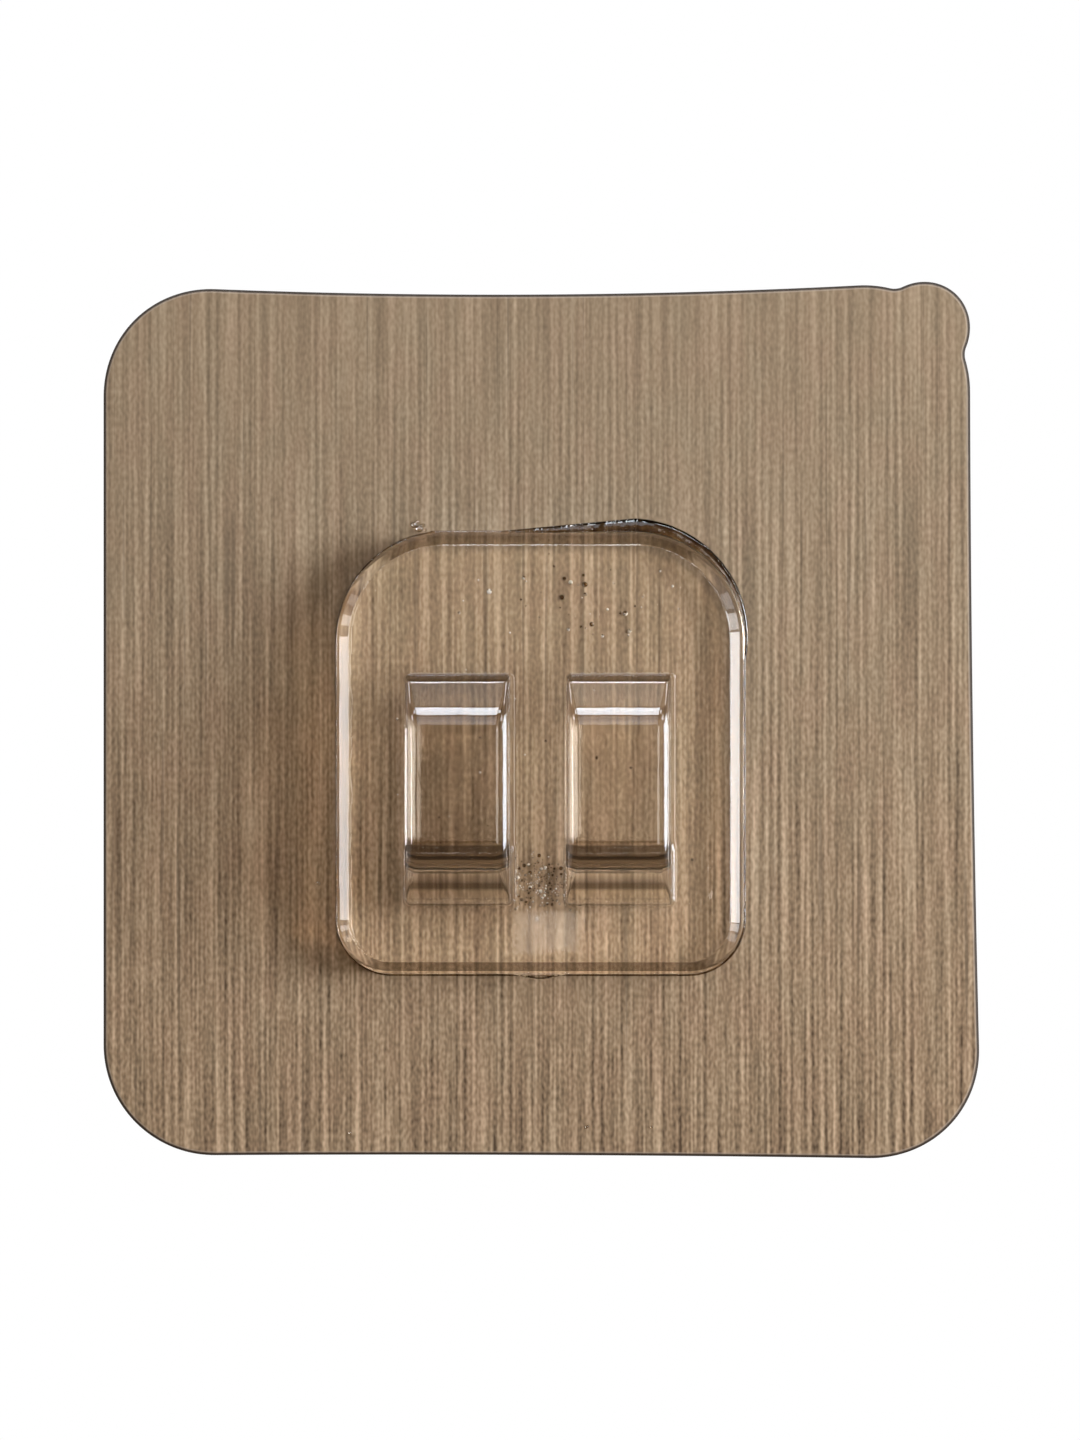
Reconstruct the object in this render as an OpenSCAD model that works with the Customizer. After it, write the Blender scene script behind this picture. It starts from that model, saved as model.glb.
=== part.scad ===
// Adhesive wall hook: a clear plate with two upright hooks, glued to a square brushed sticker.
//
// The part is laid out face up: x runs to the right, y runs up the wall and z runs out from the wall.
// on_wall() then stands it up, so that the wall is the plane Y = 0, the front faces -Y and up is +Z.
// The origin is the middle of the sheet on the back of the stack.

/* [Sheet] */

// Width of the sheet
sheet_w = 70; // [62:1:90]
// Height of the sheet
sheet_h = 70; // [64:1:90]
// Radius of the sheet's corners
sheet_r = 9; // [8:0.5:12]
// Radius of the round peel tab in the upper right corner
tab_r = 3.9; // [3:0.1:5]
// Radius of the hollow between the tab and the corner
tab_blend = 1.6; // [0.8:0.1:2]

/* [Layers] */

// Thickness of the liner that covers the adhesive
liner_t = 0.1; // [0.05:0.05:0.3]
// Thickness of the wall adhesive
adhesive_t = 0.2; // [0.1:0.05:0.6]
// Thickness of the sheet that stiffens the film
carrier_t = 0.25; // [0.1:0.05:0.6]
// Thickness of the brushed film
film_t = 0.1; // [0.05:0.05:0.3]
// Thickness of the glue under the plate
bond_t = 0.2; // [0.1:0.05:0.5]

/* [Plate] */

// Width of the clear plate
plate_w = 32.7; // [30:0.1:40]
// Height of the clear plate
plate_h = 35.5; // [33:0.1:42]
// Thickness of the clear plate
plate_t = 4; // [3:0.1:6]
// Radius of the plate's upper corners
plate_top_r = 8.7; // [6:0.1:11]
// Radius of the plate's lower corners
plate_low_r = 4.4; // [3:0.1:7]
// Width of the bevel around the plate's front
plate_rim = 1; // [0.4:0.1:1.4]
// Middle of the plate to the right of the sheet's middle
plate_x = 0.25; // [-2:0.05:2]
// Middle of the plate above the sheet's middle
plate_y = -2.4; // [-5:0.1:2]

/* [Hooks] */

// Width of one hook
hook_w = 8.4; // [6:0.1:10]
// Distance between the middles of the two hooks
hook_pitch = 12.9; // [11:0.1:15]
// Height of a hook from its underside to its tip
hook_h = 18.4; // [15:0.1:22]
// Underside of the hooks above the plate's lower edge
hook_rise = 5.7; // [4:0.1:8]
// Thickness of the floor that carries the load
floor_t = 3.3; // [2.5:0.1:5]
// Clear width of the throat between plate and tongue
throat_gap = 4.2; // [4:0.1:6]
// Thickness of the tongue
tongue_t = 3; // [2.4:0.1:4]
// Radius of the round nose at the tongue's tip
nose_r = 0.75; // [0.5:0.05:1]
// Height of the lead-in slope and the nose together
tip_h = 3.4; // [2:0.1:4]
// Radius of the round heel under the tongue
heel_r = 5; // [1:0.1:6]
// Radius of the tongue's upright front edges
edge_r = 1.1; // [0.4:0.1:2]

/* [Moulding and glue marks] */

// Width of the gate mark under the plate
gate_w = 4; // [2:0.1:6]
// How far the gate mark stands out from the plate's lower edge
gate_proud = 0.45; // [0.2:0.05:0.8]
// Height of the gate mark across the plate's edge
gate_t = 1.4; // [0.8:0.1:1.4]
// How far the glue stays back from the plate's edge
bond_inset = 0.3; // [0.1:0.1:1]
// How far the glue has squeezed out above the plate at its upper right corner
squeeze_up = 1; // [0.3:0.1:1.5]
// How far the glue has squeezed out to the right of the plate
squeeze_side = 0.2; // [0.1:0.1:0.8]
// Where the squeezed glue runs out, left of the corner's centre
squeeze_run = 10.5; // [6:0.5:14]

/* [Hidden] */

$fn = 64;

adhesive_z = liner_t;
carrier_z = adhesive_z + adhesive_t;
film_z = carrier_z + carrier_t;
bond_z = film_z + film_t;
plate_z = bond_z + bond_t;

// The plate is put together from bands that meet edge to edge, so its sizes are rounded to an exact
// binary step, far below any tolerance: then both sides of a seam come out at the very same place
seam_step = 1 / 1024;
function on_step(size) = round(size / seam_step) * seam_step;
half_w = on_step(plate_w / 2);
half_h = on_step(plate_h / 2);
top_r = on_step(plate_top_r);
low_r = on_step(plate_low_r);
rim = on_step(plate_rim);
thick = on_step(plate_t);

throat_z = plate_z + thick;
hook_depth = throat_gap + tongue_t;
hook_y = plate_y - half_h + hook_rise;
throat_r = throat_gap / 2;
// How far a hook's foot reaches into the plate, and how far cutting shapes overrun
root_embed = thick / 2;
overrun = 2;

// Centres of the rounded corner and of the tab, both on the sheet's upper right diagonal
corner_at = [sheet_w / 2 - sheet_r, sheet_h / 2 - sheet_r];
tab_at = [sheet_w / 2 - tab_r, sheet_h / 2 - tab_r];
// Centres of the two hollows, which touch both the corner and the tab
tab_gap = norm(tab_at - corner_at);
to_corner = sheet_r + tab_blend;
to_tab = tab_r + tab_blend;
hollow_along = (tab_gap ^ 2 + to_corner ^ 2 - to_tab ^ 2) / (2 * tab_gap);
hollow_across = sqrt(to_corner ^ 2 - hollow_along ^ 2);
diagonal = (tab_at - corner_at) / tab_gap;
across = [-diagonal[1], diagonal[0]];
hollows = [for (side = [-1, 1]) corner_at + hollow_along * diagonal + side * hollow_across * across];

// The gate mark is the low part of a circle with this radius
gate_r = gate_w ^ 2 / (8 * gate_proud) + gate_proud / 2;
gate_z = plate_z + (thick - rim - gate_t) / 2;

clear = [0.86, 0.84, 0.8, 0.45];
glue = [0.8, 0.76, 0.68, 0.5];
bronze = [0.62, 0.54, 0.45];
ivory = [0.9, 0.89, 0.86];
honey = [0.86, 0.84, 0.76, 0.8];
paper = [0.95, 0.94, 0.9];

module on_wall() {
    rotate([90, 0, 0]) children();
}

module layer(back, thickness) {
    on_wall() translate([0, 0, back]) linear_extrude(thickness) children();
}

// Rectangle with one radius for its upper corners and one for its lower corners
module round_panel(w, h, top_r, low_r) {
    translate([-w / 2, -h / 2 + low_r]) square([w, h - low_r - top_r]);
    translate([-w / 2 + top_r, -h / 2 + low_r]) square([w - 2 * top_r, h - low_r]);
    translate([-w / 2 + low_r, -h / 2]) square([w - 2 * low_r, h - top_r]);
    for (side = [-1, 1]) {
        translate([side * (w / 2 - top_r), h / 2 - top_r]) circle(top_r);
        translate([side * (w / 2 - low_r), -h / 2 + low_r]) circle(low_r);
    }
}

module sheet_outline() {
    round_panel(sheet_w, sheet_h, sheet_r, sheet_r);
}

// The sheet with its peel tab, blended into the corner by the two hollows
module tabbed_outline() {
    difference() {
        union() {
            sheet_outline();
            translate(tab_at) circle(tab_r);
            polygon([corner_at, hollows[0], tab_at, hollows[1]]);
        }
        for (at = hollows) translate(at) circle(tab_blend);
    }
}

// Section across a bevelled edge: reach is how far it runs in from the edge
module rim_section(reach) {
    polygon([[0, 0], [reach, 0], [reach, thick - rim], [reach - rim, thick], [0, thick]]);
}

// The plate in bands: full width in the middle, then between the upper and between the lower corners
module plate_body() {
    top_seam = half_h - top_r;
    low_seam = -half_h + low_r;
    for (side = [0, 1]) mirror([side, 0, 0]) {
        translate([0, top_seam, 0]) rotate([90, 0, 0]) linear_extrude(top_seam - low_seam) rim_section(half_w);
        translate([0, top_seam, 0]) rotate([90, 0, 90]) linear_extrude(half_w - top_r) rim_section(top_r);
        translate([half_w - low_r, low_seam, 0]) rotate([90, 0, -90])
            linear_extrude(half_w - low_r) rim_section(low_r);
        translate([half_w - top_r, top_seam, 0]) rotate_extrude(angle = 90) rim_section(top_r);
        translate([half_w - low_r, low_seam, 0]) rotate([0, 0, -90])
            rotate_extrude(angle = 90) rim_section(low_r);
    }
}

// Side view of a hook: first number up the wall from its underside, second out from the plate's front
module hook_side() {
    throat_y = floor_t + throat_r;
    difference() {
        union() {
            translate([0, -root_embed]) square([throat_y + throat_r, root_embed]);
            square([throat_y, hook_depth]);
            polygon([
                [floor_t, throat_gap],
                [hook_h - nose_r, throat_gap],
                [hook_h - nose_r, throat_gap + 2 * nose_r],
                [hook_h - tip_h, hook_depth],
                [floor_t, hook_depth]
            ]);
            translate([hook_h - nose_r, throat_gap + nose_r]) circle(nose_r);
        }
        translate([throat_y, throat_r]) circle(throat_r);
        // What the round heel takes off the outer corner
        difference() {
            translate([-overrun, hook_depth - heel_r]) square(heel_r + overrun);
            translate([heel_r, hook_depth - heel_r]) circle(heel_r);
        }
    }
}

// Plan of a hook: across the hook, then out from the plate's front, with its two front edges rounded
module hook_plan() {
    translate([-hook_w / 2, -root_embed]) square([hook_w, root_embed + hook_depth - edge_r]);
    translate([-hook_w / 2 + edge_r, 0]) square([hook_w - 2 * edge_r, hook_depth]);
    for (side = [-1, 1]) translate([side * (hook_w / 2 - edge_r), hook_depth - edge_r]) circle(edge_r);
}

module hook() {
    intersection() {
        rotate([90, 0, 90]) linear_extrude(hook_w + overrun, center = true) hook_side();
        translate([0, hook_h / 2, 0]) rotate([90, 0, 0])
            linear_extrude(hook_h + overrun, center = true) hook_plan();
    }
}

module gate_mark() {
    translate([plate_x, plate_y - half_h - gate_proud + gate_r, gate_z]) cylinder(h = gate_t, r = gate_r);
}

module hook_moulding() {
    color(clear) on_wall() {
        translate([plate_x, plate_y, plate_z]) plate_body();
        for (side = [-1, 1]) translate([plate_x + side * hook_pitch / 2, hook_y, throat_z]) hook();
        gate_mark();
    }
}

// Glue under the plate, with what has squeezed out round the plate's upper right corner
module bond_layer() {
    corner = [plate_w / 2 - plate_top_r, plate_h / 2 - plate_top_r];
    squeeze_r = plate_top_r + (squeeze_up + squeeze_side) / 2;
    squeeze_at = corner + [plate_top_r + squeeze_side - squeeze_r, plate_top_r + squeeze_up - squeeze_r];
    run_out = corner - [squeeze_run, 0];
    color(glue) layer(bond_z, bond_t) translate([plate_x, plate_y]) {
        round_panel(plate_w - 2 * bond_inset, plate_h - 2 * bond_inset, plate_top_r - bond_inset,
            plate_low_r - bond_inset);
        translate(squeeze_at) circle(squeeze_r);
        polygon([
            run_out,
            corner,
            squeeze_at + [0, squeeze_r],
            run_out + [0, plate_top_r - bond_inset]
        ]);
    }
}

module brushed_film() {
    color(bronze) layer(film_z, film_t) tabbed_outline();
}

module carrier_sheet() {
    color(ivory) layer(carrier_z, carrier_t) tabbed_outline();
}

// The adhesive leaves the tab dry, so that the tab can be taken hold of
module wall_adhesive() {
    color(honey) layer(adhesive_z, adhesive_t) sheet_outline();
}

module release_liner() {
    color(paper) layer(0, liner_t) tabbed_outline();
}

hook_moulding();
bond_layer();
brushed_film();
carrier_sheet();
wall_adhesive();
release_liner();
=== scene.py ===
import math
import random

import bmesh
import bpy
import numpy as np
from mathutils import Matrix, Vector


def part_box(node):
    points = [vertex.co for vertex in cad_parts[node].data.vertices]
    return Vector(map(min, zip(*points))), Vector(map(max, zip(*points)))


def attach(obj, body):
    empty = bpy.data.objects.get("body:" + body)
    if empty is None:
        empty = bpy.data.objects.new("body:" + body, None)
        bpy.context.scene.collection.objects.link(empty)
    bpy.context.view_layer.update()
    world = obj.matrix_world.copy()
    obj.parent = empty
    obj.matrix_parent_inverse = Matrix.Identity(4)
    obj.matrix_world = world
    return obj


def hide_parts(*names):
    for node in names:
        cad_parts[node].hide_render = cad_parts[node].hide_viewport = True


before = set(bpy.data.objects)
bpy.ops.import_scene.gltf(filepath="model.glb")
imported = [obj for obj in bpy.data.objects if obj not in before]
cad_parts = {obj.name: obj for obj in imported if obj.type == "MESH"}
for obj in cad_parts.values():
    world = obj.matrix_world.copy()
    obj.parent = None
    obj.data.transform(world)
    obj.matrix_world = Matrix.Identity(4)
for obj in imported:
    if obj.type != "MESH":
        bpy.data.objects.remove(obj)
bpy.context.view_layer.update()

# Sizes are in millimetres, laid out face up: x to the right, y up the wall, z out from the wall.
# place() turns that into the frame's metres, where the wall is the plane Y = 0 and the front faces -Y.
MM = 0.001

# The sheet
SHEET_W, SHEET_H, SHEET_R = 70.0, 70.0, 9.0
TAB_R, TAB_BLEND = 3.9, 1.6
FILM_ROLL = 0.085

# How far the sheet's edges are off true in the photo: at the middle, how they lean and how they bow,
# the last two at these distances from the middle
TOP_BEND, FOOT_BEND, RIGHT_BEND = (-0.43, 0.13, 0.56), (0.23, -0.1, -0.13), (0.07, -0.36, 0.14)
BEND_X, BEND_Y = 25.4, 26.0

# The clear plate
PLATE_W, PLATE_H = 32.7, 35.5
PLATE_TOP_R, PLATE_LOW_R = 8.7, 4.4
PLATE_RIM = 1.0
PLATE_X, PLATE_Y = 0.25, -2.4
FOOT_SOFT, FRONT_SOFT = 0.3, 0.03
HAIRLINE = 0.012

# The hooks
HOOK_W, HOOK_PITCH, HOOK_H, HOOK_RISE = 8.4, 12.9, 18.4, 5.7
FLOOR_T, THROAT_GAP, TONGUE_T = 3.3, 4.2, 3.0
NOSE_R, TIP_H, HEEL_R, EDGE_R, SLOPE_EASE = 0.75, 3.4, 5.0, 1.1, 0.6
BACK_EDGE_R, LIP_R, ROOT_FILLET = 0.3, 0.45, 0.35
HOOK_DEPTH = THROAT_GAP + TONGUE_T
ROOT_EMBED = 2.0
HOOK_Y = PLATE_Y - PLATE_H / 2 + HOOK_RISE

# The gate mark, and the frosted mark of the mould's pin above it
GATE_W, GATE_T, GATE_PROUD = 4.0, 1.4, 0.45
GATE_EDGE_R, GATE_REACH, GATE_FILLET = 0.2, 1.5, 0.15
PIN_X, PIN_Y, PIN_W, PIN_H = 0.9, -16.8, 6.2, 3.8

# The glue: its bead round the plate's foot, and what has squeezed out at the upper right
BEAD_W, BEAD_H, BEAD_SWELL, BEAD_FULL_W = 0.18, 0.16, 0.08, 0.6
BEAD_GAP, BEAD_LIFT = 0.01, 0.004
BEAD_SECTION = ((0.0, 0.0), (0.0, 1.0), (0.35, 0.98), (0.7, 0.88), (0.88, 0.66), (0.97, 0.36), (1.0, 0.0))
SQUEEZE_UP, SQUEEZE_SIDE, SQUEEZE_RUN = 1.0, 0.2, 10.5

# Bubbles in groups: how many, around which point, how far spread, and the least and largest radius
BUBBLE_GROUPS = (
    (210, (0.4, -12.8), (1.1, 0.85), (0.05, 0.17)),
    (40, (2.0, 9.5), (4.5, 2.2), (0.05, 0.22)),
    (24, (0.0, -5.0), (9.0, 7.0), (0.05, 0.16)),
)
BUBBLE_SQUASH, BUBBLE_LIFT, BUBBLE_GAP, BUBBLE_INSET = 0.6, 0.06, 0.03, 1.6
BUBBLE_SEED, BUBBLE_TRIES = 7, 4000

# Crumbs of dried glue, each with its place and radius: beside the plate, and loose on the film
CRUMBS = (
    *((-9.9, 16.0, 0.22), (-9.5, 15.7, 0.28), (-9.2, 15.95, 0.16), (-9.65, 16.25, 0.12), (-9.05, 15.6, 0.13)),
    *((-17.7, -12.9, 0.16), (-15.1, -33.0, 0.12), (4.0, -32.5, 0.14), (9.2, -32.5, 0.12)),
)
CRUMB_SQUASH, CRUMB_LIFT = 0.7, 0.005


def depth(node):
    """How far a node's back and front lie out from the wall, in millimetres."""
    low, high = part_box(node)
    return -high[1] / MM, -low[1] / MM


LINER_Z = depth("release_liner")
ADHESIVE_Z = depth("wall_adhesive")
CARRIER_Z = depth("carrier_sheet")
FILM_Z = depth("brushed_film")
PLATE_BACK = depth("bond_layer")[1]
HOOK_TIP_Z = depth("hook_moulding")[1]
PLATE_FRONT = HOOK_TIP_Z - HOOK_DEPTH


def place(points):
    """Face-up millimetres to the frame's metres."""
    points = np.asarray(points, float)
    return np.stack([points[:, 0], -points[:, 2], points[:, 1]], axis=1) * MM


def add_mesh(name, points, faces, body, node=None):
    """A smooth mesh piece from face-up points, riding on a body and standing for a CAD node."""
    mesh = bpy.data.meshes.new(name)
    mesh.from_pydata(place(points).tolist(), [], [list(map(int, f)) for f in faces])
    mesh.validate()
    mesh.polygons.foreach_set("use_smooth", [True] * len(mesh.polygons))
    piece = bpy.data.objects.new(name, mesh)
    bpy.context.scene.collection.objects.link(piece)
    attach(piece, body)
    if node:
        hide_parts(node)
    return piece


# Distance fields: negative inside. Each is a formula on arrays of face-up coordinates.


def length(a, b):
    """The length of a vector from its two parts."""
    return np.sqrt(a * a + b * b)


def both(a, b, r):
    """Where two shapes overlap, with the edge between them rounded to radius r."""
    return np.minimum(np.maximum(a, b), -r) + length(np.maximum(a + r, 0), np.maximum(b + r, 0))


def either(a, b, r):
    """Two shapes joined, with the corner between them filled to radius r."""
    return np.maximum(np.minimum(a, b), r) - length(np.maximum(r - a, 0), np.maximum(r - b, 0))


def eased(a, b, k):
    """Where two shapes overlap, with a shallow corner between them eased over a width k."""
    h = np.maximum(k - np.abs(a - b), 0) / k
    return np.maximum(a, b) + h * h * k / 4


def plate_outline_field(x, y):
    """The plate's outline, with one radius for its upper corners and one for its lower corners."""
    x, y = x - PLATE_X, y - PLATE_Y
    r = np.where(y > 0, PLATE_TOP_R, PLATE_LOW_R)
    qx, qy = np.abs(x) - PLATE_W / 2 + r, np.abs(y) - PLATE_H / 2 + r
    return np.minimum(np.maximum(qx, qy), 0) + length(np.maximum(qx, 0), np.maximum(qy, 0)) - r


def plate_field(x, y, z):
    """The plate with the clear glue under it, which stops a hairline above the film."""
    wall = plate_outline_field(x, y)
    front = z - PLATE_FRONT
    bevel = (wall + front + PLATE_RIM) / math.sqrt(2)
    back = FILM_Z[1] + HAIRLINE - z
    return np.maximum(both(both(wall, bevel, FOOT_SOFT), front, FRONT_SOFT), back)


def hook_field(x, y, z, middle):
    """One hook: its side view, cut to width, with round front edges and softer edges behind."""
    up, out = y - HOOK_Y, z - PLATE_FRONT
    heel = both(-up, out - HOOK_DEPTH, HEEL_R)
    slope_run = TONGUE_T - 2 * NOSE_R
    slope_rise = TIP_H - NOSE_R
    slope = (up - HOOK_H + TIP_H) * slope_run + (out - HOOK_DEPTH) * slope_rise
    slope = slope / math.hypot(slope_run, slope_rise)
    outer = both(eased(heel, slope, SLOPE_EASE), up - HOOK_H, NOSE_R)
    throat_r = THROAT_GAP / 2
    throat = length(np.minimum(up - FLOOR_T - throat_r, 0), out - throat_r) - throat_r
    side = both(outer, -throat, LIP_R)
    width = np.abs(x - middle) - HOOK_W / 2
    share = np.clip((out - THROAT_GAP) / TONGUE_T, 0, 1)
    hook = both(side, width, BACK_EDGE_R + (EDGE_R - BACK_EDGE_R) * share * share)
    return np.maximum(hook, -out - ROOT_EMBED)


def gate_field(x, y, z):
    """The stub left where the plastic was let into the mould, a low arc under the plate."""
    plate_foot = PLATE_Y - PLATE_H / 2
    bow_r = GATE_W**2 / (8 * GATE_PROUD) + GATE_PROUD / 2
    bow = length(x - PLATE_X, y - (plate_foot - GATE_PROUD + bow_r)) - bow_r
    middle_z = (PLATE_BACK + PLATE_FRONT - PLATE_RIM) / 2
    stub = both(bow, np.abs(z - middle_z) - GATE_T / 2, GATE_EDGE_R)
    return np.maximum(stub, y - (plate_foot + GATE_REACH))


def moulding_field(x, y, z):
    """The plate, both hooks and the gate mark in one."""
    solid = plate_field(x, y, z)
    for side in (-1, 1):
        solid = either(solid, hook_field(x, y, z, PLATE_X + side * HOOK_PITCH / 2), ROOT_FILLET)
    return either(solid, gate_field(x, y, z), GATE_FILLET)


def slopes(field, p, step=0.01):
    """The gradient of a field at points, by central differences."""
    out = np.empty_like(p)
    for axis in range(3):
        ahead, behind = p.copy(), p.copy()
        ahead[:, axis] += step
        behind[:, axis] -= step
        out[:, axis] = (field(*ahead.T) - field(*behind.T)) / (2 * step)
    return out


CORNERS = np.array([(i, j, k) for i in (0, 1) for j in (0, 1) for k in (0, 1)])


def surface_net(field, low, high, step):
    """A quad mesh on a field's zero surface: one point in each grid cell that the surface crosses."""
    passes, least_slope = 4, 0.05
    axes = [np.arange(a, b + step, step) for a, b in zip(low, high)]
    values = field(axes[0][:, None, None], axes[1][None, :, None], axes[2][None, None, :])
    inside = values < 0
    cells = np.array(values.shape) - 1
    count = np.zeros(cells, np.int8)
    for i, j, k in CORNERS:
        count += inside[i : i + cells[0], j : j + cells[1], k : k + cells[2]]
    at = np.argwhere((count > 0) & (count < len(CORNERS)))
    ids = np.full(cells, -1)
    ids[tuple(at.T)] = np.arange(len(at))
    # Start from the middle of the places where the cell's edges cross the surface
    total, crossings = np.zeros((len(at), 3)), np.zeros(len(at))
    for a in CORNERS:
        for b in CORNERS:
            if (b - a).sum() != 1 or np.abs(b - a).sum() != 1:
                continue
            va, vb = values[tuple((at + a).T)], values[tuple((at + b).T)]
            cut = (va < 0) != (vb < 0)
            t = np.where(cut, va / np.where(cut, va - vb, 1), 0)
            total += np.where(cut[:, None], at + a + t[:, None] * (b - a), 0)
            crossings += cut
    start = np.array(low) + step * total / crossings[:, None]
    # Then draw each point onto the surface, but not far from its start
    points = start.copy()
    for _ in range(passes):
        g = slopes(field, points)
        points -= (field(*points.T) / np.maximum((g * g).sum(1), least_slope))[:, None] * g
        points = np.clip(points, start - step, start + step)
    # A quad round each grid edge that crosses the surface, wound to face outwards
    quads = []
    for axis in range(3):
        u, v = [a for a in range(3) if a != axis]
        first = np.take(inside, range(values.shape[axis] - 1), axis)
        second = np.take(inside, range(1, values.shape[axis]), axis)
        crossed = np.argwhere(first != second)
        crossed = crossed[np.all((crossed[:, [u, v]] > 0) & (crossed[:, [u, v]] < cells[[u, v]]), axis=1)]
        around = []
        for du, dv in ((-1, -1), (0, -1), (0, 0), (-1, 0)):
            cell = crossed.copy()
            cell[:, u] += du
            cell[:, v] += dv
            around.append(ids[tuple(cell.T)])
        quad = np.stack(around, axis=1)
        outward = first[tuple(crossed.T)] if axis != 1 else ~first[tuple(crossed.T)]
        quads.append(np.where(outward[:, None], quad, quad[:, ::-1]))
    return points, np.concatenate(quads), at


def thin_out(piece, cells, block, degrees):
    """Melts the flat stretches of a mesh into larger faces, each within one block of grid cells."""
    mesh = piece.data
    ends = np.empty(len(mesh.edges) * 2, int)
    mesh.edges.foreach_get("vertices", ends)
    ends = ends.reshape(-1, 2)
    a, b = cells[ends.T]
    on_block_edge = (a == b) & (a % block == 0)
    normals = np.empty(len(mesh.vertices) * 3)
    mesh.vertices.foreach_get("normal", normals)
    facing = np.abs(normals.reshape(-1, 3)[ends[:, 0]])[:, [0, 2, 1]]
    mesh.edges.foreach_set("use_seam", (on_block_edge & (facing < 0.5)).any(axis=1))
    bm = bmesh.new()
    bm.from_mesh(mesh)
    bmesh.ops.dissolve_limit(
        bm, angle_limit=math.radians(degrees), verts=bm.verts, edges=bm.edges, delimit={"SEAM"}
    )
    for edge in bm.edges:
        edge.seam = False
    bm.to_mesh(mesh)
    bm.free()


def true_normals(piece, field, inset=0.3):
    """Shades a piece by its field's own slope, taken a share inside each face, so that edges stay crisp."""
    mesh = piece.data
    co, middle = np.empty(len(mesh.vertices) * 3), np.empty(len(mesh.polygons) * 3)
    mesh.vertices.foreach_get("co", co)
    mesh.polygons.foreach_get("center", middle)
    corner, size = np.empty(len(mesh.loops), int), np.empty(len(mesh.polygons), int)
    mesh.loops.foreach_get("vertex_index", corner)
    mesh.polygons.foreach_get("loop_total", size)
    at, centre = co.reshape(-1, 3)[corner], np.repeat(middle.reshape(-1, 3), size, axis=0)
    at = (at + inset * (centre - at)) / MM
    g = slopes(field, np.stack([at[:, 0], at[:, 2], -at[:, 1]], axis=1))
    g /= np.linalg.norm(g, axis=1)[:, None]
    mesh.polygons.foreach_set("use_smooth", [True] * len(mesh.polygons))
    mesh.normals_split_custom_set(np.stack([g[:, 0], -g[:, 2], g[:, 1]], axis=1).tolist())


# Outlines: lists of face-up points, counter-clockwise.


def arc(centre, r, start, end, spacing=0.35):
    """Points along an arc from one angle to another, in degrees."""
    n = max(2, round(abs(math.radians(end - start)) * r / spacing))
    turns = np.radians(np.linspace(start, end, n + 1))
    return [(centre[0] + r * math.cos(a), centre[1] + r * math.sin(a)) for a in turns]


def angle_to(a, b):
    """The direction from one point to another, in degrees."""
    return math.degrees(math.atan2(b[1] - a[1], b[0] - a[0]))


def filled_in(points, spacing):
    """The outline with points added along its straight stretches, and none twice."""
    out = []
    for a, b in zip(points, points[1:] + points[:1]):
        gap = math.dist(a, b)
        if gap < 1e-6:
            continue
        steps = max(1, round(gap / spacing)) if gap > 2 * spacing else 1
        out += [(a[0] + (b[0] - a[0]) * i / steps, a[1] + (b[1] - a[1]) * i / steps) for i in range(steps)]
    return out


def sheet_outline(tab=True):
    """The sheet's outline, with or without the peel tab in its upper right corner."""
    straight, blend_step, tab_step = 1.5, 0.15, 0.2
    x, y = SHEET_W / 2 - SHEET_R, SHEET_H / 2 - SHEET_R
    points = arc((-x, y), SHEET_R, 90, 180)
    points += arc((-x, -y), SHEET_R, 180, 270)
    points += arc((x, -y), SHEET_R, 270, 360)
    corner, ear = (x, y), (SHEET_W / 2 - TAB_R, SHEET_H / 2 - TAB_R)
    if not tab:
        return filled_in(points + arc(corner, SHEET_R, 0, 90), straight)
    gap = math.dist(corner, ear)
    to_corner, to_ear = SHEET_R + TAB_BLEND, TAB_R + TAB_BLEND
    along = (gap**2 + to_corner**2 - to_ear**2) / (2 * gap)
    turn = math.degrees(math.acos(along / to_corner))
    diagonal = angle_to(corner, ear)
    hollow = {}
    for side in (-1, 1):
        a = math.radians(diagonal + side * turn)
        hollow[side] = (corner[0] + to_corner * math.cos(a), corner[1] + to_corner * math.sin(a))
    at_low, at_high = angle_to(ear, hollow[-1]), angle_to(ear, hollow[1])
    points += arc(corner, SHEET_R, 0, diagonal - turn)
    points += arc(hollow[-1], TAB_BLEND, diagonal - turn + 180, at_low + 180, blend_step)
    points += arc(ear, TAB_R, at_low, at_high, tab_step)
    points += arc(hollow[1], TAB_BLEND, at_high + 180, diagonal + turn + 180, blend_step)
    points += arc(corner, SHEET_R, diagonal + turn, 90)
    return filled_in(points, straight)


def plate_outline():
    """The plate's outline, about its own middle."""
    straight = 0.5
    x, y = PLATE_W / 2 - PLATE_TOP_R, PLATE_H / 2 - PLATE_TOP_R
    low_x, low_y = PLATE_W / 2 - PLATE_LOW_R, PLATE_H / 2 - PLATE_LOW_R
    points = arc((x, y), PLATE_TOP_R, 0, 90)
    points += arc((-x, y), PLATE_TOP_R, 90, 180)
    points += arc((-low_x, -low_y), PLATE_LOW_R, 180, 270)
    points += arc((low_x, -low_y), PLATE_LOW_R, 270, 360)
    return filled_in(points, straight)


def inward(points):
    """The unit normals of an outline that point into it."""
    p = np.asarray(points)
    t = np.roll(p, -1, axis=0) - np.roll(p, 1, axis=0)
    t /= np.linalg.norm(t, axis=1)[:, None]
    return np.stack([-t[:, 1], t[:, 0]], axis=1)


def smooth_step(t):
    """0 below 0, 1 above 1, eased between them."""
    t = np.clip(t, 0, 1)
    return t * t * (3 - 2 * t)


def bend(t, middle, lean, bow):
    """How far an edge is off true along its length, where t is 0 at its middle."""
    return middle + bow * t**2 + lean * t


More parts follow.
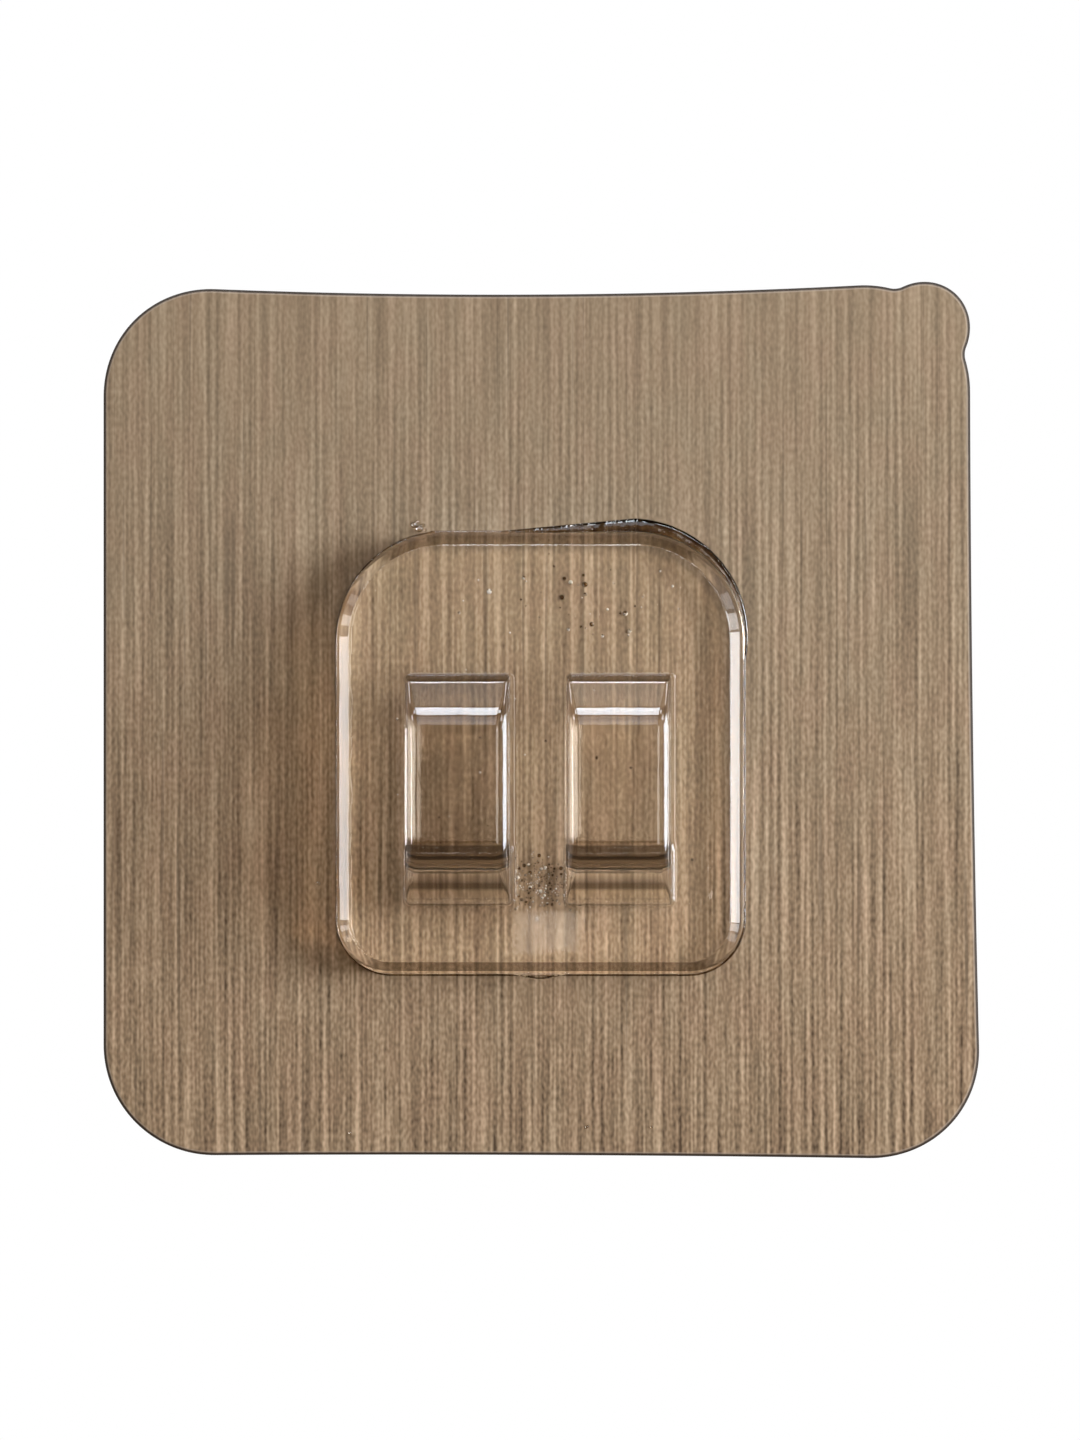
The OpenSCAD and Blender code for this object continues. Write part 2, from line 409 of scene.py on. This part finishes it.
def as_cut(points):
    """How the thin sheet lies in the photo: its upper edge dips and its lower right corner has spread."""
    p = np.array(points, float)
    half = SHEET_H / 2
    tx, ty = p[:, 0] / BEND_X, p[:, 1] / BEND_Y
    up, down, right = (smooth_step(v / half) for v in (p[:, 1], -p[:, 1], p[:, 0]))
    dy = up * bend(tx, *TOP_BEND) + down * bend(tx, *FOOT_BEND)
    dx = right * bend(ty, *RIGHT_BEND)
    return p + np.stack([dx, dy], axis=1)


def ring_faces(rings, n, closed=False):
    """Quads between rings of n points that follow one another in a mesh, and back to the first if closed."""
    return [
        (r * n + i, r * n + (i + 1) % n, (r + 1) % rings * n + (i + 1) % n, (r + 1) % rings * n + i)
        for r in range(rings if closed else rings - 1)
        for i in range(n)
    ]


def sheet_layer(name, outline, back, front, body, node, slot, roll=0.0):
    """One layer of the stack: front and back faces in rings, with a front edge that rolls back."""
    insets = (0.45, 0.36, 0.28, 0.14)
    roll_w = insets[2]
    shares = (0.9, 0.75, 0.6, 0.45, 0.3, 0.15)
    sharp_degrees = 40
    n = len(outline)
    flat, normal = np.asarray(outline), inward(outline)
    levels = [(flat * share, front) for share in reversed(shares)]
    levels += [(flat + normal * inset, front - roll * max(0, 1 - inset / roll_w)) for inset in insets]
    levels += [(flat, front - roll), (flat, back)]
    levels += [(flat * share, back) for share in shares]
    points = [np.column_stack([as_cut(ring), np.full(n, z)]) for ring, z in levels]
    last = (len(levels) - 1) * n
    faces = [f[::-1] for f in ring_faces(len(levels), n)]
    faces += [range(n), range(last + n - 1, last - 1, -1)]
    layer = add_mesh(name, np.concatenate(points), faces, body, node)
    layer.data.set_sharp_from_angle(angle=math.radians(sharp_degrees))
    return layer


# Materials. Colours are linear, lengths in metres, and noise scales are per metre along X, Y and Z.

# How much of the lamps' light passes straight through the plate and through the hooks, and the depths
# from the wall, in millimetres, between which the plate's light and tone give way to the hooks'
PLATE_LIGHT, HOOK_LIGHT = 0.77, 0.74
LIGHT_DEPTHS, TONE_DEPTHS = (5.5, 6.0), (5.5, 6.5)

WHITE = (1.0, 1.0, 1.0)


class Nodes:
    """The node tree of a material or a world, built a node at a time."""

    def __init__(self, owner, output="OutputMaterial"):
        self.owner = owner
        owner.use_nodes = True
        self.tree = owner.node_tree
        self.tree.nodes.clear()
        self.output = self.tree.nodes.new("ShaderNode" + output)

    def add(self, kind, settings=None, **inputs):
        """A node with its settings, and its inputs by name, or by number as i0, i1 and so on."""
        node = self.tree.nodes.new("ShaderNode" + kind)
        for key, value in (settings or {}).items():
            setattr(node, key, value)
        for key, value in inputs.items():
            self.put(node.inputs[int(key[1:]) if key[1:].isdigit() else key.replace("_", " ")], value)
        return node

    def put(self, socket, value):
        """Links a socket to another one, or sets its value."""
        if isinstance(value, bpy.types.NodeSocket):
            self.tree.links.new(value, socket)
        else:
            socket.default_value = (*value, 1) if socket.type == "RGBA" else value

    def split(self, coordinates):
        """The parts of a texture coordinate, by axis."""
        return self.add("SeparateXYZ", Vector=self.add("TexCoord").outputs[coordinates]).outputs

    def noise(self, scale, detail=2.0, roughness=0.5):
        """Noise at the surface point, with a scale for each axis."""
        point = self.add("TexCoord").outputs["Object"]
        vector = self.add("Mapping", Vector=point, Scale=scale).outputs[0]
        return self.add("TexNoise", Vector=vector, Scale=1.0, Detail=detail, Roughness=roughness).outputs[0]

    def ramp(self, value, *stops):
        """A colour that a value picks from stops, each a position and a colour."""
        node = self.add("ValToRGB", i0=value)
        ramp = node.color_ramp
        while len(ramp.elements) < len(stops):
            ramp.elements.new(0.5)
        for element, (at, colour) in zip(ramp.elements, stops):
            element.position = at
            element.color = (*colour, 1)
        return node.outputs[0]

    def grade(self, value, low, high, to_low=0.0, to_high=1.0, easing="LINEAR"):
        """A value stretched from one range to another, and held at its ends."""
        ends = {"i1": low, "i2": high, "i3": to_low, "i4": to_high}
        return self.add("MapRange", {"interpolation_type": easing}, i0=value, **ends).outputs[0]

    def maths(self, operation, a, b=0.0):
        """One step of arithmetic."""
        return self.add("Math", {"operation": operation}, i0=a, i1=b).outputs[0]

    def total(self, *weighted):
        """The sum of values, each times its weight."""
        out, *rest = [self.maths("MULTIPLY", value, weight) for value, weight in weighted]
        for term in rest:
            out = self.maths("ADD", out, term)
        return out

    def mix(self, share, a, b, how="MIX"):
        """Two colours mixed by a share."""
        return self.add("Mix", {"data_type": "RGBA", "blend_type": how}, i0=share, i6=a, i7=b).outputs[2]

    def mix_shaders(self, share, a, b):
        """Two shaders mixed by a share."""
        return self.add("MixShader", i0=share, i1=a.outputs[0], i2=b.outputs[0])

    def bump(self, height, strength, distance, **normal):
        """A normal bent by a height, from the surface's own or a given one."""
        return self.add("Bump", Height=height, Strength=strength, Distance=distance, **normal).outputs[0]

    def finish(self, shader):
        """Links the shader to the output and gives back the finished material or world."""
        self.tree.links.new(shader.outputs[0], self.output.inputs[0])
        return self.owner


def look(name):
    """The empty node tree of a new material."""
    return Nodes(bpy.data.materials.new(name))


def brushed_film():
    """Bronze film with an upright brushed grain, stronger towards its foot, and painted highlight and shadow
    at its rolled edge.
    """
    m = look("brushed_bronze_film")
    half = SHEET_H / 2 * MM
    height = m.split("Object")["Z"]
    streak = m.noise((3000, 1, 42), 0.5)
    dash = m.noise((3600, 1, 420), 0.0)
    speck = m.noise((4200, 1, 2300), 0.0)
    lines = m.grade(m.noise((2300, 1, 38), 0.0), 0.70, 0.80)
    parts = ((streak, 1.05), (dash, 0.30), (speck, 0.50))
    even = sum(weight for _, weight in parts) / 2
    strength = m.grade(height, -half, half, 1.35, 0.55)
    grain = m.maths("MULTIPLY", m.maths("SUBTRACT", m.total(*parts), even), strength)
    grain = m.maths("ADD", grain, 0.5)
    tone = m.ramp(
        grain,
        (0.0, (0.085, 0.052, 0.027)),
        (0.5, (0.328, 0.233, 0.143)),
        (1.0, (0.640, 0.490, 0.340)),
    )
    # Patches a little redder or bluer, a warmer foot, and thin dark lines
    hue = m.noise((480, 1, 150), 1.0)
    tint = m.ramp(hue, (0.34, (1.015, 0.992, 1.0)), (0.5, WHITE), (0.66, (0.98, 1.0, 1.01)))
    tone = m.mix(1.0, tone, tint, "MULTIPLY")
    warmth = m.ramp(m.grade(height, -half, half), (0.15, (1.0, 0.945, 0.90)), (0.75, WHITE))
    tone = m.mix(1.0, tone, warmth, "MULTIPLY")
    tone = m.mix(m.maths("MULTIPLY", lines, 0.42), tone, (0.105, 0.072, 0.044))
    # Painted highlight where the edge starts to roll back, then painted shadow where it has rolled
    facing = m.maths("ABSOLUTE", m.split("Normal")["Y"])
    tone = m.mix(m.grade(facing, 0.999, 0.99, 0.0, 0.45), tone, (0.52, 0.42, 0.34))
    tone = m.mix(m.grade(facing, 0.985, 0.96, 0.0, 0.95), tone, (0.030, 0.020, 0.014))
    shader = m.add(
        "BsdfPrincipled",
        Base_Color=tone,
        Metallic=0.12,
        Roughness=m.grade(streak, 0.3, 0.7, 0.60, 0.48),
        Specular_IOR_Level=0.25,
        Normal=m.bump(grain, 0.15, 0.00004),
    )
    return m.finish(shader)


def clear_plastic():
    """Clear plastic. Lamps shine on through its faces, but not out of the sides turned to the left."""
    m = look("clear_plastic")
    wave = m.noise((260, 260, 260), 2.0)
    flow = m.noise((900, 900, 500), 1.0)
    turn, spot = m.split("Normal"), m.split("Object")

    def by_depth(depths, plate, hook):
        """One value for the plate and another for the hooks in front of it."""
        return m.grade(spot["Y"], -depths[0] * MM, -depths[1] * MM, plate, hook)

    def off_pin(axis, middle, size):
        """How far a point is from the pin mark's middle along an axis, where 1 is the mark's edge."""
        away = m.maths("SUBTRACT", spot[axis], middle * MM)
        return m.maths("ABSOLUTE", m.maths("DIVIDE", away, size / 2 * MM))

    # Painted shade: the tone darkens faces by how far they turn down (-1) or up (1), such as the top and foot
    # bevels, the heels and undersides; more painted shade on the sides turned to the left and a little in the
    # hooks
    clear, edge, rim = (0.985, 0.965, 0.94), (0.52, 0.41, 0.30), (0.23, 0.185, 0.145)
    foot, under, heel = (0.17, 0.13, 0.095), (0.95, 0.85, 0.70), (0.95, 0.85, 0.72)
    slants = (
        *((-1.0, under), (-0.80, under), (-0.74, foot), (-0.67, foot), (-0.53, clear)),
        *((-0.41, clear), (-0.34, heel), (-0.23, heel), (-0.16, clear)),
        *((0.16, clear), (0.23, edge), (0.34, edge), (0.41, clear), (0.53, clear), (0.60, rim)),
    )
    tone = m.ramp(m.grade(turn["Z"], -1.0, 1.0), *((s / 2 + 0.5, colour) for s, colour in slants))
    tone = m.mix(m.grade(turn["X"], -0.5, -0.75), tone, (0.52, 0.40, 0.28), "MULTIPLY")
    thick = by_depth(TONE_DEPTHS, 0.0, 1.0)
    tone = m.mix(thick, tone, (0.87, 0.85, 0.83), "MULTIPLY")
    # Smooth, with a faint haze in the hooks and a frosted mark with a wavy edge
    off_mark = m.maths("MAXIMUM", off_pin("X", PIN_X, PIN_W), off_pin("Z", PIN_Y, PIN_H))
    off_mark = m.maths("ADD", off_mark, m.grade(wave, 0.3, 0.7, -0.15, 0.15))
    frost = m.grade(off_mark, 0.75, 1.0, 0.22, 0.0)
    haze = m.maths("ADD", m.maths("MULTIPLY", thick, 0.03), frost)
    shader = m.add(
        "BsdfPrincipled",
        Base_Color=tone,
        IOR=1.49,
        Transmission_Weight=1.0,
        Roughness=m.maths("ADD", m.grade(wave, 0.3, 0.7, 0.0, 0.03), haze),
        Normal=m.bump(flow, 0.35, 0.00004, Normal=m.bump(wave, 0.15, 0.0001)),
    )
    # The share of a lamp's light that a face lets through
    outward = m.grade(m.add("NewGeometry").outputs["Backfacing"], 0.0, 1.0, 1.0, -1.0)
    lets = m.grade(m.maths("MULTIPLY", turn["X"], outward), -0.35, -0.15)
    lets = m.maths("MULTIPLY", lets, by_depth(LIGHT_DEPTHS, PLATE_LIGHT, HOOK_LIGHT))
    share = m.maths("MULTIPLY", m.add("LightPath").outputs["Is Shadow Ray"], lets)
    return m.finish(m.mix_shaders(share, shader, m.add("BsdfTransparent")))


def glue_with_painted_light(name, low, high):
    """Clear glue with a tone between two colours: dark ones paint shade on it, pale ones paint highlights."""
    m = look(name)
    wave = m.noise((700, 700, 700), 2.0)
    shader = m.add(
        "BsdfPrincipled",
        Base_Color=m.ramp(wave, (0.3, low), (0.7, high)),
        IOR=1.47,
        Transmission_Weight=1.0,
        Roughness=m.grade(wave, 0.3, 0.7, 0.0, 0.06),
        Normal=m.bump(wave, 0.4, 0.0002),
    )
    return m.finish(shader)


def bubble_air():
    """Air within the plastic, with a dark tint in places that paints shade and pale matt patches in places
    that paint highlights.
    """
    m = look("trapped_air")
    mottle = m.noise((1900, 1900, 1900), 1.0)
    tone = m.ramp(mottle, (0.42, (0.56, 0.43, 0.31)), (0.52, WHITE))
    air = m.add("BsdfGlass", Color=tone, IOR=1 / 1.49, Roughness=m.grade(mottle, 0.3, 0.7, 0.0, 0.08))
    glint_tone = m.ramp(mottle, (0.5, (0.60, 0.50, 0.38)), (0.7, (0.92, 0.86, 0.76)))
    painted_glint = m.add("BsdfDiffuse", Color=glint_tone)
    return m.finish(m.mix_shaders(m.grade(mottle, 0.52, 0.58, 0.0, 0.7), air, painted_glint))


def sheet_plastic(name, low, high, rough):
    """A pale sheet with faint mottling and fibres."""
    m = look(name)
    cloud = m.noise((180, 180, 180), 4.0, 0.6)
    fibre = m.noise((2400, 2400, 500), 2.0, 0.6)
    value = m.total((cloud, 0.6), (fibre, 0.4))
    shader = m.add(
        "BsdfPrincipled",
        Base_Color=m.ramp(value, (0.35, low), (0.65, high)),
        Roughness=m.grade(cloud, 0.3, 0.7, rough - 0.08, rough + 0.08),
        Normal=m.bump(value, 0.1, 0.00003),
    )
    return m.finish(shader)


def floor_white():
    """A pale matt floor that glows for the camera alone."""
    m = look("floor_white")
    tone = m.ramp(m.noise((40, 40, 40)), (0.3, (0.9, 0.9, 0.9)), (0.7, (0.93, 0.93, 0.93)))
    matt = m.add("BsdfPrincipled", Base_Color=tone, Roughness=0.9)
    glow = m.add("Emission", Color=(0.95, 0.95, 0.95))
    share = m.maths("MULTIPLY", m.add("LightPath").outputs["Is Camera Ray"], 0.75)
    return m.finish(m.mix_shaders(share, matt, glow))


def give(piece, material):
    """Gives a piece its one material."""
    piece.data.materials.clear()
    piece.data.materials.append(material)


# The clear moulding
GRID, MARGIN = 0.11, 0.5
MELT_BLOCK, MELT_DEGREES = 12, 0.15
low = (PLATE_X - PLATE_W / 2 - MARGIN, PLATE_Y - PLATE_H / 2 - GATE_PROUD - MARGIN, FILM_Z[1] - MARGIN)
high = (PLATE_X + PLATE_W / 2 + MARGIN, PLATE_Y + PLATE_H / 2 + MARGIN, HOOK_TIP_Z + MARGIN)
points, quads, cells = surface_net(moulding_field, low, high, GRID)
moulding = add_mesh("clear_moulding", points, quads, "hook", "hook_moulding")
thin_out(moulding, cells, MELT_BLOCK, MELT_DEGREES)
true_normals(moulding, moulding_field)
give(moulding, clear_plastic())


# The glue: a bead round the plate's foot, wide where it has squeezed out at the upper right
def squeeze(points, normals):
    """How far the glue stands out from each point of the plate's foot."""
    corner = np.array([PLATE_W / 2 - PLATE_TOP_R, PLATE_H / 2 - PLATE_TOP_R])
    r = PLATE_TOP_R + (SQUEEZE_UP + SQUEEZE_SIDE) / 2
    centre = corner + (PLATE_TOP_R + SQUEEZE_SIDE - r, PLATE_TOP_R + SQUEEZE_UP - r)
    away = points - centre
    b = (away * normals).sum(1)
    reach = -b + np.sqrt(np.maximum(b * b - (away * away).sum(1) + r * r, 0))
    rise = SQUEEZE_UP * np.clip((points[:, 0] - corner[0] + SQUEEZE_RUN) / SQUEEZE_RUN, 0, 1)
    top = corner[1] + PLATE_TOP_R + rise
    on_top = (normals[:, 1] > 0.99) & (points[:, 0] < corner[0])
    out = np.where(on_top, top - points[:, 1], np.where((points > corner).any(1), reach, 0))
    out[(points[:, 0] < 0) & (points[:, 1] < corner[1])] = 0
    return np.maximum(out, 0)


def glue_bead():
    """The bead: its section, swept round the plate's foot."""
    foot = np.array(plate_outline())
    out = -inward(foot)
    width = BEAD_W + squeeze(foot, out)
    height = BEAD_H + BEAD_SWELL * smooth_step(width / BEAD_FULL_W)
    rings = []
    for share, tall in BEAD_SECTION:
        ring = foot + out * (BEAD_GAP + width * share)[:, None] + (PLATE_X, PLATE_Y)
        rings.append(np.column_stack([ring, FILM_Z[1] + BEAD_LIFT + height * tall]))
    faces = [f[::-1] for f in ring_faces(len(rings), len(foot), closed=True)]
    return add_mesh("glue_bead", np.concatenate(rings), faces, "hook", "bond_layer")


# Real glue, whose dark brown tone is painted shade along the plate's foot
give(glue_bead(), glue_with_painted_light("glue_with_painted_light", (0.34, 0.25, 0.17), (0.66, 0.56, 0.44)))

# The stack
tabbed, plain = sheet_outline(), sheet_outline(tab=False)
film = sheet_layer("film_face", tabbed, *FILM_Z, "hook", "brushed_film", "brushed_bronze", FILM_ROLL)
give(film, brushed_film())
carrier = sheet_layer("carrier_core", tabbed, *CARRIER_Z, "hook", "carrier_sheet", "carrier")
give(carrier, sheet_plastic("ivory_carrier", (0.56, 0.54, 0.49), (0.72, 0.70, 0.65), 0.45))
adhesive = sheet_layer("adhesive_coat", plain, *ADHESIVE_Z, "hook", "wall_adhesive", "adhesive")
give(adhesive, sheet_plastic("clear_adhesive", (0.60, 0.57, 0.48), (0.74, 0.71, 0.62), 0.2))
liner = sheet_layer("liner_sheet", tabbed, *LINER_Z, "liner", "release_liner", "liner")
give(liner, sheet_plastic("release_paper", (0.74, 0.73, 0.69), (0.86, 0.85, 0.82), 0.38))


# Bubbles under the plate, and crumbs on the film
def blobs(name, spots, squash):
    """One piece of many flattened balls, each given by its middle and radius."""
    verts, faces = [], []
    for x, y, z, r in spots:
        bm = bmesh.new()
        bmesh.ops.create_icosphere(bm, subdivisions=2, radius=1.0)
        start = len(verts)
        verts += [(x + r * v.co.x, y + r * v.co.y, z + r * squash * v.co.z) for v in bm.verts]
        faces += [[start + v.index for v in f.verts] for f in bm.faces]
        bm.free()
    return add_mesh(name, verts, faces, "hook")


def bubble_spots():
    """Where the bubbles are: a seeded scatter, clear of the plate's edge and of one another."""
    rng = random.Random(BUBBLE_SEED)
    spots = []
    for count, centre, spread, (small, large) in BUBBLE_GROUPS:
        full = len(spots) + count
        for _ in range(BUBBLE_TRIES):
            if len(spots) == full:
                break
            x, y = rng.gauss(centre[0], spread[0]), rng.gauss(centre[1], spread[1])
            r = small + (large - small) * rng.random() ** 2
            inside = plate_outline_field(x, y) <= -BUBBLE_INSET
            if inside and all(math.hypot(x - s[0], y - s[1]) >= r + s[3] + BUBBLE_GAP for s in spots):
                spots.append((x, y, FILM_Z[1] + BUBBLE_LIFT + r * BUBBLE_SQUASH, r))
    return spots


give(blobs("trapped_bubbles", bubble_spots(), BUBBLE_SQUASH), bubble_air())
crumb_spots = [(x, y, FILM_Z[1] + r * CRUMB_SQUASH + CRUMB_LIFT, r) for x, y, r in CRUMBS]
crumbs = blobs("glue_crumbs", crumb_spots, CRUMB_SQUASH)
# The crumbs are real glue; their pale tone is a painted highlight
give(crumbs, glue_with_painted_light("pale_glue", (0.80, 0.72, 0.60), (0.97, 0.94, 0.88)))

# Stage: the camera sees white all round. Reflections and the clear plastic see white behind the part and
# at its sides, a dim room in front and a brighter one below. Matt surfaces get an even light.
ROOM, BELOW, AMBIENT = (0.115, 0.080, 0.046), (0.30, 0.21, 0.13), (0.175, 0.123, 0.068)


def studio():
    """The world, by direction and by what kind of ray looks at it."""
    m = Nodes(bpy.data.worlds.new("studio"), "OutputWorld")
    path, way = m.add("LightPath").outputs, m.split("Generated")
    behind = m.grade(way["Y"], 0.1, 0.5, easing="SMOOTHSTEP")
    aside = m.grade(m.maths("ABSOLUTE", way["X"]), 0.6, 0.95, easing="SMOOTHSTEP")
    not_below = m.grade(way["Z"], -0.7, -0.4, easing="SMOOTHSTEP")
    white = m.maths("MULTIPLY", m.maths("MAXIMUM", behind, aside), not_below)
    seen = m.mix(white, m.mix(not_below, BELOW, ROOM), WHITE)
    after_matt = m.maths("GREATER_THAN", path["Diffuse Depth"], 0.5)
    seen = m.mix(after_matt, seen, AMBIENT)
    seen = m.mix(path["Is Camera Ray"], seen, WHITE)
    return m.finish(m.add("Background", Color=seen))


bpy.context.scene.world = studio()

COOL, WARM = (0.94, 1.03, 1.14), (1.02, 0.98, 0.90)
PART = Vector((0, 0, 0))


def lamp(name, at, width, height, power, colour=WHITE, lights_matt=False):
    """A rectangular lamp that faces the part."""
    data = bpy.data.lights.new(name, "AREA")
    data.shape = "RECTANGLE"
    data.size, data.size_y = width, height
    data.energy = power
    data.color = colour
    obj = bpy.data.objects.new(name, data)
    obj.location = at
    obj.rotation_euler = (PART - Vector(at)).to_track_quat("-Z", "Z").to_euler()
    obj.visible_diffuse = lights_matt
    bpy.context.scene.collection.objects.link(obj)
    return obj


lamp("key_right", (0.53, -0.28, 0.05), 0.26, 0.32, 4.75, COOL, lights_matt=True)
lamp("front_right", (0.172, -0.883, 0.05), 0.24, 0.24, 0.95, WARM, lights_matt=True)
lamp("behind", (0.25, 0.85, 0.25), 0.4, 0.4, 5.0, lights_matt=True)


def glint(name, azimuth, elevation, width, height, level, distance=0.6, colour=WHITE, through=False):
    """A small lamp that only shows as a reflection or, if it says so, through the plastic.

    It is placed by the direction in which the part sees it, in degrees.
    """
    a, e = math.radians(azimuth), math.radians(elevation)
    at = (distance * math.sin(a) * math.cos(e), -distance * math.cos(a) * math.cos(e), distance * math.sin(e))
    obj = lamp(name, at, width, height, level * math.pi * width * height, colour)
    obj.visible_transmission = through
    return obj


# The side bevels' white strips, which fade towards the corners
RIGHT_LEVEL, LEFT_LEVEL = 12.4, 8.4
glint("strip_right", 88, 0, 0.12, 0.12, RIGHT_LEVEL, through=True)
glint("strip_left", -88, 0, 0.06, 0.12, LEFT_LEVEL, through=True)
for tilt, dim in ((-24, 0.2), (-12, 0.5), (12, 0.5), (24, 0.2)):
    glint("corner_right", 88, tilt, 0.10, 0.14, RIGHT_LEVEL * dim)
    glint("corner_left", -88, tilt, 0.06, 0.14, LEFT_LEVEL * dim)

# White lines, most of them along the hooks' edges and tips
glint("front_line_a", 6, 3, 0.03, 0.05, 24.0, 0.9, through=True)
glint("front_line_b", 16, 3, 0.03, 0.05, 24.0, 0.9, through=True)
glint("left_line", -47, 0, 0.04, 0.10, 16.0)
glint("left_behind", -102, 0, 0.06, 0.14, 25.0)
glint("top_core", -1.0, 41.5, 0.06, 0.16, 18.0, colour=COOL)
glint("top_low", -1.3, 22, 0.08, 0.18, 2.5, colour=COOL)
glint("top_high", -3, 71, 0.08, 0.08, 30.0)
glint("top_slope", -2, 58, 0.08, 0.12, 1.6)
for side in (-1, 1):
    glint("shoulder", side * 20, 37, 0.12, 0.07, 18.0, colour=COOL)
    glint("upper_side", side * 40, 22, 0.10, 0.10, 16.0)
    glint("tip_side", side * 60, 46, 0.10, 0.10, 16.0)

# A pale floor, well below a part that hangs on a wall. Reflections, clear plastic and bounced light
# leave it out.
FLOOR_DROP, FLOOR_HALF = 0.16, 1.5
bm = bmesh.new()
bmesh.ops.create_grid(bm, x_segments=8, y_segments=8, size=FLOOR_HALF)
floor_mesh = bpy.data.meshes.new("floor")
bm.to_mesh(floor_mesh)
bm.free()
floor = bpy.data.objects.new("floor", floor_mesh)
floor.location = (0, 0, -FLOOR_DROP)
bpy.context.scene.collection.objects.link(floor)
floor.visible_diffuse = floor.visible_glossy = floor.visible_transmission = False
give(floor, floor_white())

# Camera: almost straight ahead and a little to the right, far off with a long lens
IMAGE_W, IMAGE_H = 1080, 1440
PIXELS_PER_MM = 12.41
SHEET_PIXEL = (537.5, 723.5)
CAMERA_FAR = 1.2
CAMERA_AZIMUTH = math.radians(1.3)
SENSOR = 36.0
aim = Vector(
    (
        (IMAGE_W / 2 - SHEET_PIXEL[0]) / PIXELS_PER_MM * MM,
        -FILM_Z[1] * MM,
        (SHEET_PIXEL[1] - IMAGE_H / 2) / PIXELS_PER_MM * MM,
    )
)
camera_data = bpy.data.cameras.new("camera")
camera_data.sensor_width = SENSOR
camera_data.lens = SENSOR * CAMERA_FAR / (IMAGE_H / PIXELS_PER_MM * MM)
camera_data.clip_start, camera_data.clip_end = 0.05, 10
camera = bpy.data.objects.new("camera", camera_data)
camera.location = aim + CAMERA_FAR * Vector((math.sin(CAMERA_AZIMUTH), -math.cos(CAMERA_AZIMUTH), 0))
camera.rotation_euler = (aim - camera.location).to_track_quat("-Z", "Y").to_euler()
bpy.context.scene.collection.objects.link(camera)
bpy.context.scene.camera = camera
bpy.context.scene.view_settings.view_transform = "Standard"
# Thin white lines stay sharp in reflections
bpy.context.scene.cycles.blur_glossy = 0.0
